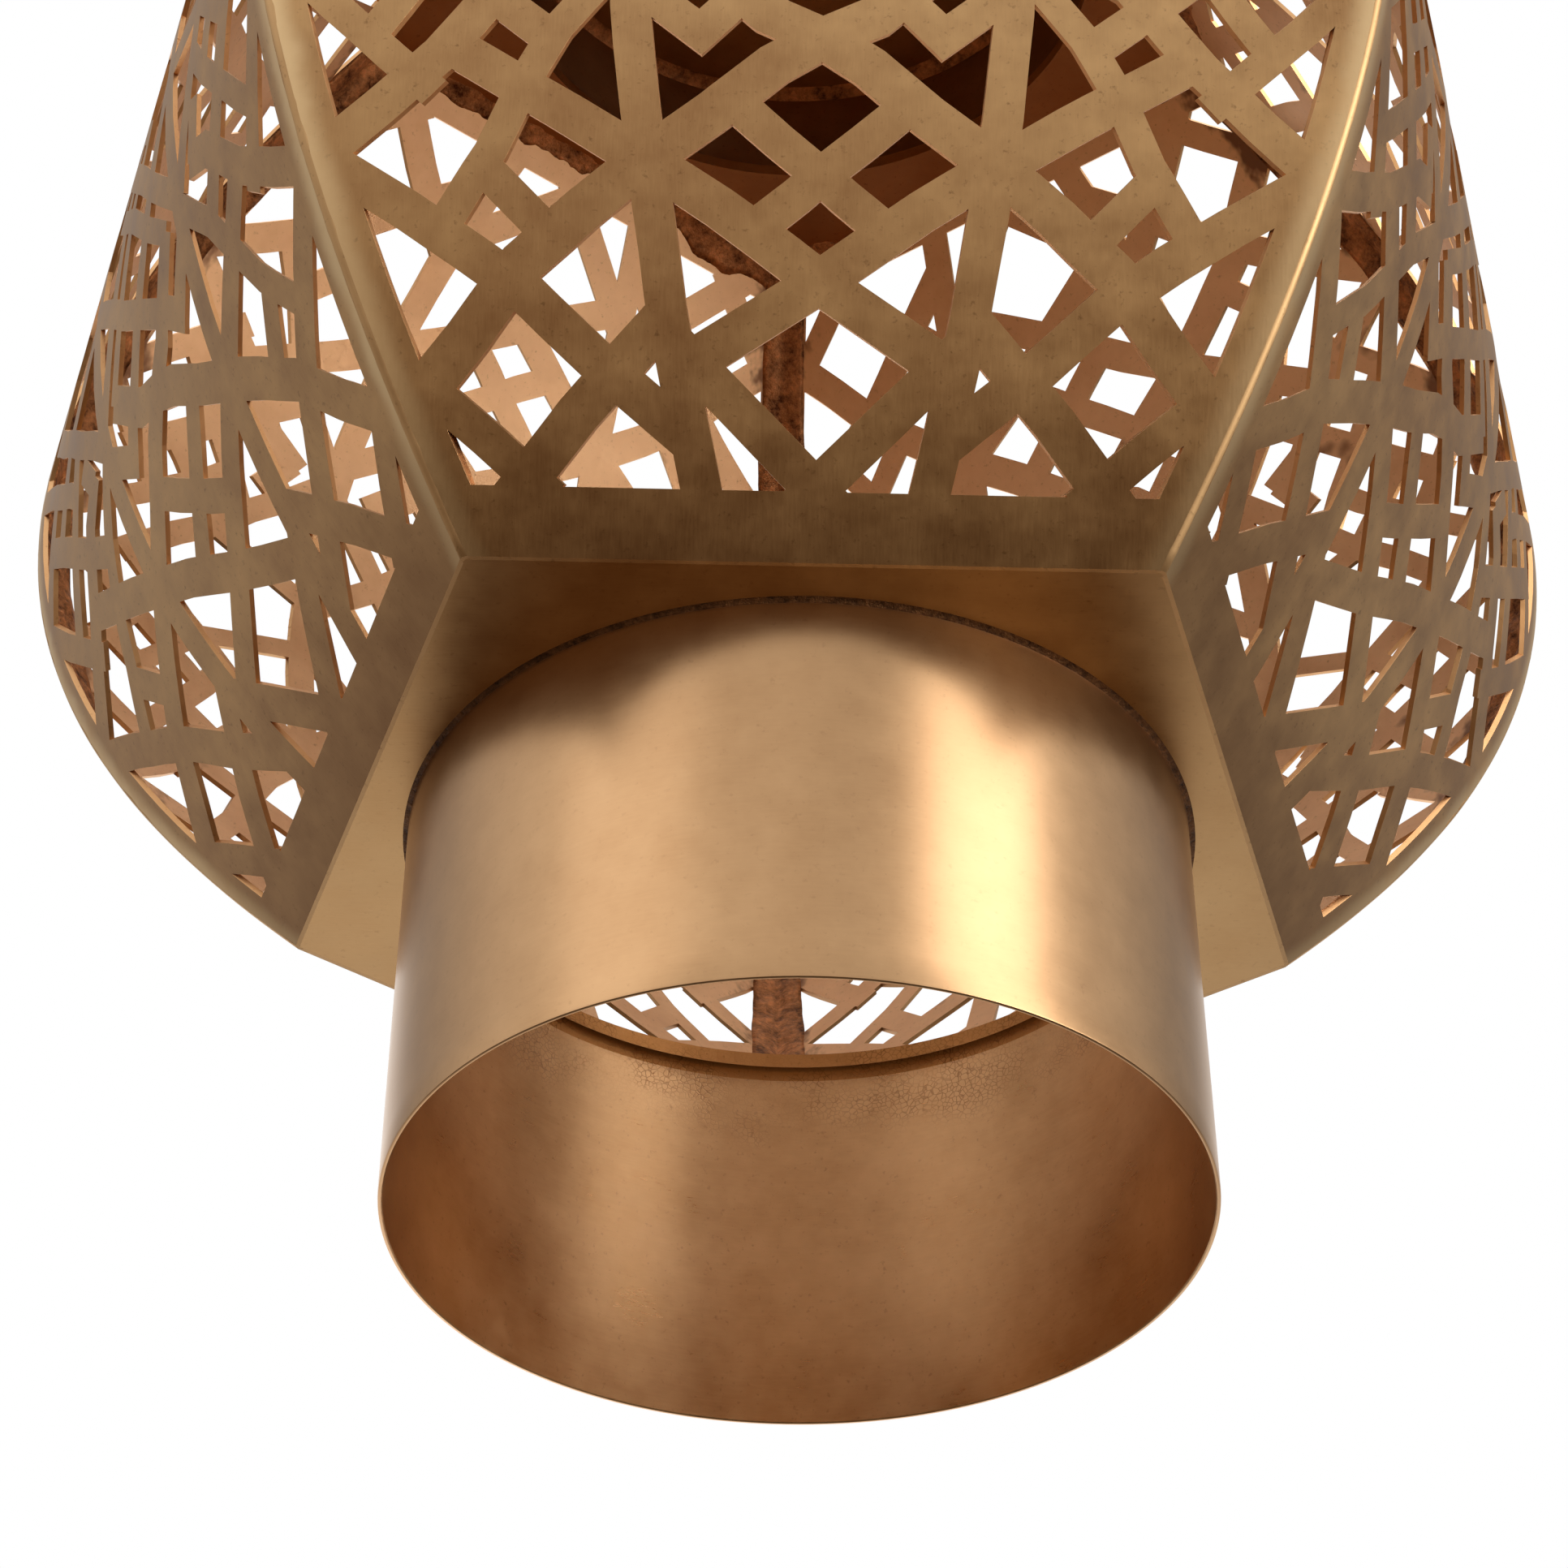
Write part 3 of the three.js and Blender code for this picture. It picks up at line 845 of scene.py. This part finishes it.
def make_uneven(mesh, seed):
    """Moves a panel's bars by a hair, fading out towards its ridges and ends."""
    waves = 190  # along a metre
    sideways, upwards = 0.11 * MM, 0.09 * MM
    distances = mesh.attributes["from_ridge"].data
    for vert in mesh.vertices:
        spot = vert.co * waves + Vector((seed, 0, 0))
        fade = min(1.0, max(0.0, distances[vert.index].value / 3 - 0.6))
        from_end = min(vert.co.z - BODY_LOW, BODY_HIGH - vert.co.z) / MM
        fade *= min(1.0, max(0.0, from_end / 6 - 0.5))
        vert.co.x += sideways * fade * noise.noise(spot)
        vert.co.z += upwards * fade * noise.noise(spot + Vector((0, 40, 0)))


panel = panel_mesh()
PANELS = ("front", "front_right", "back_right", "back_left", "front_left")
for i, place in enumerate(PANELS):
    mesh = panel.copy()
    make_uneven(mesh, 7.0 * i)
    mesh.transform(turned_about_axis(TURN * i))
    bend_normals(mesh, TURN * i)
    new_piece("pierced_panel_" + place, mesh, (panel_out, panel_in, panel_cut, ridge_bright),
              ("panel_" + place,))

RIDGES = ("back", "back_left", "front_left", "front_right", "back_right")
for i, place in enumerate(RIDGES):
    mesh = joined(ridge_solder_mesh(11.3 * (i + 1)), ridge_line_mesh(5.7 * (i + 1)))
    mesh.transform(turned_about_axis(TURN * i))
    new_piece("ridge_seam_" + place, mesh, (solder_dark, ridge_bright),
              ("ridge_solder_" + place,))


def face_materials(mesh, choose):
    """Gives each face the number of its material, chosen by its centre and normal."""
    for face in mesh.polygons:
        face.material_index = choose(face.center, face.normal)


def flat_radius(point):
    return math.hypot(point.x - AXIS.x, point.y - AXIS.y)


LOWER_FACE = BODY_LOW + INSET  # outer faces of the two plates
UPPER_FACE = BODY_HIGH - INSET
INSIDE_R = TUBE_R - 0.2 * MM  # faces nearer the axis are a tube's inside
LIP_TALL = 0.9 * MM
HOLE_WALL = HOLE_R + 0.2 * MM  # faces nearer the axis are the wall of a plate's hole
SOLDER_AT = PLATE_T * 0.85  # how far into a plate its edge solder starts
JOINT_REACH, JOINT_RISE = 0.32 * MM, 0.22 * MM
TUBE_WOBBLE = 0.0035


def foot_face(c, n):
    if flat_radius(c) > INSIDE_R:
        return 0
    return 2 if c.z > LOWER_FACE - LIP_TALL else 1


foot = lathe(tube_outline(0.0, LOWER_FACE), wobble=TUBE_WOBBLE)
face_materials(foot, foot_face)
new_piece("foot_tube_turned", foot, (tube_brass, tube_inside, lip_brass),
          ("foot_tube",))

lower = plate_mesh(LOWER_FACE, LOWER_FACE + PLATE_T, 0.0)
face_materials(lower, lambda c, n: 2 if flat_radius(c) < HOLE_WALL else 1 if n.z > 0.7 else 0)
new_piece("lower_plate", lower, (plate_brass, plate_inner_painted_shade, lip_brass),
          ("bottom_plate",))
new_piece("lower_plate_solder", edge_solder_mesh(LOWER_FACE + SOLDER_AT, 1, 3.7),
          (solder_dark,), ("bottom_edge_solder",))
upper = plate_mesh(UPPER_FACE, UPPER_FACE - PLATE_T, 0.4)
face_materials(upper, lambda c, n: 1 if n.z < -0.7 else 0)
new_piece("upper_plate", upper, (plate_brass, plate_inner_painted_shade), ("top_plate",))
new_piece("upper_plate_solder", edge_solder_mesh(UPPER_FACE - SOLDER_AT, -1, 8.9),
          (solder_dark,), ("top_edge_solder",))

# Dark solder beads where the tubes meet the plates, which also stand in for the contact shadow
# there: partly painted shadow.
for name, z, rise in (("foot_tube_joint", LOWER_FACE, -JOINT_RISE),
                      ("cup_collar_joint", UPPER_FACE, JOINT_RISE)):
    joint = lathe(bead_outline(TUBE_R, z, JOINT_REACH, rise), wobble=0.005, seed=z * 900)
    new_piece(name, joint, (solder_and_contact_shade,), ())

COLLAR_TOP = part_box("cup_collar")[1].z
FLOOR_LOW, FLOOR_HIGH = (corner.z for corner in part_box("cup_floor"))


def collar_face(c, n):
    if flat_radius(c) > INSIDE_R:
        return 0
    return 2 if c.z < FLOOR_LOW else 1


collar = lathe(tube_outline(COLLAR_TOP, UPPER_FACE), wobble=TUBE_WOBBLE, seed=4.0)
face_materials(collar, collar_face)
new_piece("cup_collar_turned", collar, (tube_brass, tube_inside, recess_brass_painted_shade),
          ("cup_collar",))

SCREW_R = 2.0 * MM
SCREW_HOLE = SCREW_R + 0.2 * MM
FLOOR_RADII = (SCREW_HOLE, 12 * MM, BORE_R - 0.05 * MM)  # its hole, half way out, its edge
floor_outline = [(r, FLOOR_LOW) for r in FLOOR_RADII]
floor_outline += [(r, FLOOR_HIGH) for r in reversed(FLOOR_RADII)]
floor_disc = lathe(floor_outline, 96)
face_materials(floor_disc, lambda c, n: 1 if n.z < -0.5 else 0)
new_piece("cup_floor_disc", floor_disc, (cup_brass, recess_brass_painted_shade), ("cup_floor",))
BEAD = 0.9 * MM
# mirrored both ways, because it lies inside the tube and below the floor
floor_bead = [(-r, FLOOR_LOW - z) for r, z in bead_outline(-BORE_R, 0, BEAD, BEAD)]
new_piece("cup_floor_bead", lathe(floor_bead, 144, wobble=0.01, seed=2.0), (solder_dark,),
          ("cup_floor_solder",))

CUP_LOW, CUP_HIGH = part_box("tealight_cup")
CUP_R = (CUP_HIGH.x - CUP_LOW.x) / 2
CUP_WALL = 0.5 * MM
SEAT = CUP_LOW.z + 1.5 * MM  # underside of the raised seat round the dimple
DIMPLE = 6 * MM


def cup_outline():
    """Pressed cup: dimple, raised seat with rounded corners, wall and a rolled rim."""
    w = CUP_WALL
    inner = CUP_R - w
    low, top = CUP_LOW.z, CUP_HIGH.z
    bend, dimple_bend = 1.6 * MM, 0.6 * MM
    inner_bend = bend - w
    roll = 0.55 * MM  # radius of the rolled rim
    straight = top - 5 * MM  # a level on the plain wall
    out = [(SCREW_HOLE, low), (DIMPLE - dimple_bend, low)]
    out += arc((DIMPLE - dimple_bend, low + dimple_bend), dimple_bend, -90, 0, 4)[1:]
    out += [(DIMPLE + w, SEAT - 0.3 * MM), (DIMPLE + w + 0.3 * MM, SEAT)]
    out += arc((CUP_R - bend, SEAT + bend), bend, -90, 0, 7)
    out += [(CUP_R, straight), (CUP_R, top - 1.0 * MM)]
    out += arc((CUP_R - 0.1 * MM, top - roll), roll, -40, 190, 9)
    out += [(inner, top - 1.1 * MM), (inner, straight)]
    out += arc((inner - inner_bend, SEAT + w + inner_bend), inner_bend, 0, -90, 7)
    out += [(DIMPLE + w + 0.5 * MM, SEAT + w), (DIMPLE + 0.1 * MM, SEAT + w - 0.15 * MM),
            (DIMPLE - 0.1 * MM, low + w + 0.5 * MM), (DIMPLE - dimple_bend, low + w),
            (SCREW_HOLE, low + w)]
    return out


new_piece("tealight_cup_pressed", lathe(cup_outline(), 160, wobble=0.002, seed=7.0), (cup_brass,),
          ("tealight_cup",))


def screw_mesh():
    """Slotted pan-head screw with a threaded shank."""
    low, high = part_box("cup_screw")
    head_top = high.z
    head_low = CUP_LOW.z + CUP_WALL
    head_r = (high.x - low.x) / 2
    segments, rows = 64, 46
    pitch = 0.7 * MM
    root, end_size = 0.86, 0.9  # of the shank's radius, at the thread's root and at its two ends
    slot_reach, slot_half, slot_depth = 1.2 * head_r, 0.45 * MM, 0.6 * MM
    angles = [2 * math.pi * i / segments for i in range(segments)]
    head = [(head_r, head_low), (head_r, head_low + 0.45 * MM),
            (head_r * 0.96, head_low + 0.62 * MM), (head_r * 0.86, head_top - 0.2 * MM),
            (head_r * 0.7, head_top - 0.08 * MM), (head_r * 0.35, head_top)]
    work = bmesh.new()
    loops = [[work.verts.new(round_axis(r, a, z)) for a in angles] for r, z in head]
    for ring, above in zip(loops, loops[1:]):
        faces_between(work, ring, above)
    centre = work.verts.new(AXIS + Vector((0, 0, head_top)))
    for k in range(segments):
        work.faces.new((loops[-1][k], loops[-1][(k + 1) % segments], centre))
    shank = []
    for j in range(rows + 1):
        z = head_low - (head_low - low.z) * j / rows
        ring = []
        for a in angles:
            phase = (z / pitch + a / (2 * math.pi)) % 1
            size = end_size if j in (0, rows) else root + (1 - root) * abs(2 * phase - 1)
            ring.append(work.verts.new(round_axis(SCREW_R * size, a, z)))
        shank.append(ring)
    for ring, below in zip([loops[0]] + shank, shank):
        for k in range(segments):
            m = (k + 1) % segments
            work.faces.new((ring[k], below[k], below[m], ring[m]))
    work.faces.new(shank[-1])
    blank = added("screw_blank", finished(work, "screw"))
    corners = ((-1, -1), (1, -1), (1, 1), (-1, 1))
    slot = [Vector((AXIS.x + x * slot_reach, AXIS.y + y * slot_half)) for x, y in corners]
    cutter = prisms([slot], head_top - slot_depth, head_top + 1.0 * MM)
    slotted = minus(blank, cutter)
    drop(blank, cutter)
    return slotted


new_piece("cup_screw_slotted", screw_mesh(), (steel,), ("cup_screw",))

washer_low, washer_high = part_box("cup_washer")
washer_r = (washer_high.x - washer_low.x) / 2
soft = 0.12 * MM
washer = [(SCREW_HOLE, washer_low.z), (washer_r - soft, washer_low.z),
          (washer_r, washer_low.z + soft), (washer_r, washer_high.z - soft),
          (washer_r - soft, washer_high.z), (SCREW_HOLE, washer_high.z)]
new_piece("cup_washer_pressed", lathe(washer, 64), (steel,), ("cup_washer",))


def nut_mesh():
    """Hexagon nut with its corners chamfered top and bottom."""
    low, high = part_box("cup_nut")
    flats = (high.y - low.y) / 2
    bore = SCREW_R * 1.03
    mouth = bore + 0.35 * MM  # the bore is countersunk to this
    countersink = 0.3 * MM
    face = flats * 0.97
    fall = 0.55  # of the chamfer, for its run
    segments = 96
    stations = [(mouth, low.z), (face, low.z), (None, low.z), (None, high.z), (face, high.z),
                (mouth, high.z), (bore, high.z - countersink), (bore, low.z + countersink)]
    work = bmesh.new()
    loops = []
    for radius, z in stations:
        ring = []
        for i in range(segments):
            a = 2 * math.pi * i / segments
            r, here = radius, z
            if radius is None:
                r = flats / math.cos(a % (math.pi / 3) - math.pi / 6)
                here += (r - face) * fall * (1 if z == low.z else -1)
            ring.append(work.verts.new(round_axis(r, a, here)))
        loops.append(ring)
    for i, ring in enumerate(loops):
        faces_between(work, ring, loops[(i + 1) % len(loops)])
    return finished(work, "nut")


new_piece("cup_nut_hexagon", nut_mesh(), (steel,), ("cup_nut",))

# ---- stage, light and camera ----


def stage_floor():
    """Pale floor, seen from above only, so that the low camera looks through it. Far away it
    glows, to fade into the white. It takes shadows, but doesn't light or show in the object."""
    size, below = 3.0, 0.2 * MM
    corners = ((-size, -size, 0), (size, -size, 0), (size, size, 0), (-size, size, 0))
    mesh = bpy.data.meshes.new("floor")
    mesh.from_pydata(corners, [], [(0, 1, 2, 3)])
    floor = added("floor", mesh)
    floor.location.z = -below
    material, tree = tree_of("pale_floor")
    pale = add_node(tree, "ShaderNodeBsdfDiffuse", Color=(0.82, 0.82, 0.81, 1))
    place = add_node(tree, "ShaderNodeTexCoord").outputs["Object"]
    away = add_node(tree, "ShaderNodeVectorMath", {"operation": "LENGTH"}, i0=place).outputs[1]
    glow = add_node(tree, "ShaderNodeEmission", Color=(1, 1, 0.99, 1),
                    Strength=span(tree, away, 0.35, 2.2, 0.0, 0.5))
    pale = add_node(tree, "ShaderNodeAddShader", i0=pale.outputs[0], i1=glow.outputs[0])
    clear = add_node(tree, "ShaderNodeBsdfTransparent")
    back = add_node(tree, "ShaderNodeNewGeometry").outputs["Backfacing"]
    pick = add_node(tree, "ShaderNodeMixShader", i0=back, i1=pale.outputs[0], i2=clear.outputs[0])
    add_node(tree, "ShaderNodeOutputMaterial", i0=pick.outputs[0])
    mesh.materials.append(material)
    floor.visible_diffuse = False
    floor.visible_glossy = False
    floor.visible_shadow = False


def studio_world():
    """White room: brighter from the horizon up, warm and dim below, with a bright backdrop
    behind the object and less light from the right. The camera itself sees plain white."""
    world = bpy.data.worlds.new("studio")
    world.use_nodes = True
    bpy.context.scene.world = world
    tree = world.node_tree
    tree.nodes.clear()
    direction = add_node(tree, "ShaderNodeTexCoord").outputs["Generated"]
    axes = add_node(tree, "ShaderNodeSeparateXYZ", Vector=direction)
    height, depth, across = axes.outputs[2], axes.outputs[1], axes.outputs[0]
    low = span(tree, height, -0.75, 0.2, 0.1, 0.7, True)
    high = span(tree, height, 0.2, 0.7, 0.0, 0.07, True)
    shade = span(tree, depth, -0.1, 0.5, 1.0, 0.5, True)
    room = maths(tree, "MULTIPLY", maths(tree, "ADD", low, high), shade)
    backdrop = span(tree, depth, 0.6, 0.9, 0.0, 1.3, True)
    dimmer_right = span(tree, across, -0.1, 0.3, 1.0, 0.76, True)
    strength = maths(tree, "MULTIPLY", maths(tree, "ADD", room, backdrop), dimmer_right)
    warm = mixed(tree, span(tree, height, -0.7, 0.15, 0.0, 1.0, True), (1.0, 0.68, 0.42, 1),
                 (1.0, 0.96, 0.92, 1))
    tint = mixed(tree, backdrop, warm, (1.0, 0.99, 0.97, 1))
    lit = add_node(tree, "ShaderNodeBackground", Color=tint, Strength=strength)
    seen = add_node(tree, "ShaderNodeBackground", Color=(1, 1, 1, 1), Strength=1.0)
    camera_ray = add_node(tree, "ShaderNodeLightPath").outputs["Is Camera Ray"]
    pick = add_node(tree, "ShaderNodeMixShader", i0=camera_ray, i1=lit.outputs[0],
                    i2=seen.outputs[0])
    add_node(tree, "ShaderNodeOutputWorld", i0=pick.outputs[0])


def soft_light(name, azimuth, elevation, distance, size, power, colour=(1, 1, 1)):
    """Softbox towards the object's middle. Azimuth 0 is in front, and 90 to the right."""
    data = bpy.data.lights.new(name, "AREA")
    data.shape = "RECTANGLE"
    data.size, data.size_y = size
    data.energy, data.color = power, colour
    light = added(name, data)
    a, e = math.radians(azimuth), math.radians(elevation)
    away = Vector((math.sin(a) * math.cos(e), -math.cos(a) * math.cos(e), math.sin(e)))
    light.location = AXIS + Vector((0, 0, 0.04)) + away * distance
    light.rotation_euler = away.to_track_quat("Z", "Y").to_euler()
    light.visible_camera = False


def photo_camera():
    """The camera looks up at the object from below the table's level, slightly to one side. Its
    place is worked out for a plate whose corner lies one unit from the axis."""
    unit = PLATE / math.cos(HALF)
    pitch, roll, yaw = 0.67535, 0.00234, 0.02718
    distance, across, above = 6.6644 * unit, 0.02751 * unit, -0.14092 * unit
    forward = Vector((0, math.cos(pitch), math.sin(pitch)))
    up = Vector((0, -math.sin(pitch), math.cos(pitch)))
    right = Vector((1, 0, 0))
    place = -distance * forward - across * right - above * up
    rolled_right = right * math.cos(roll) + up * math.sin(roll)
    rolled_up = up * math.cos(roll) - right * math.sin(roll)
    turn = Matrix.Rotation(-yaw, 3, "Z")
    data = bpy.data.cameras.new("camera")
    camera = added("camera", data)
    axes = Matrix((turn @ rolled_right, turn @ rolled_up, turn @ -forward)).transposed()
    camera.matrix_world = Matrix.Translation(
        AXIS + Vector((0, 0, BODY_LOW)) + turn @ place) @ axes.to_4x4()
    data.sensor_width, data.lens = 36.0, 82.6118
    data.clip_start, data.clip_end = 0.01, 20.0
    bpy.context.scene.camera = camera


stage_floor()
studio_world()
soft_light("key_right", 51, 36, 0.9, (0.42, 0.9), 2.95, (1.0, 0.97, 0.95))
soft_light("fill_left", -50, 34, 0.9, (0.5, 0.9), 0.8)
soft_light("side_right", 57, -5, 0.9, (0.5, 0.3), 4.4, (1.0, 0.96, 0.9))
soft_light("top", 0, 88, 0.8, (0.7, 0.7), 2.5)
photo_camera()

bpy.context.scene.view_settings.view_transform = "Standard"
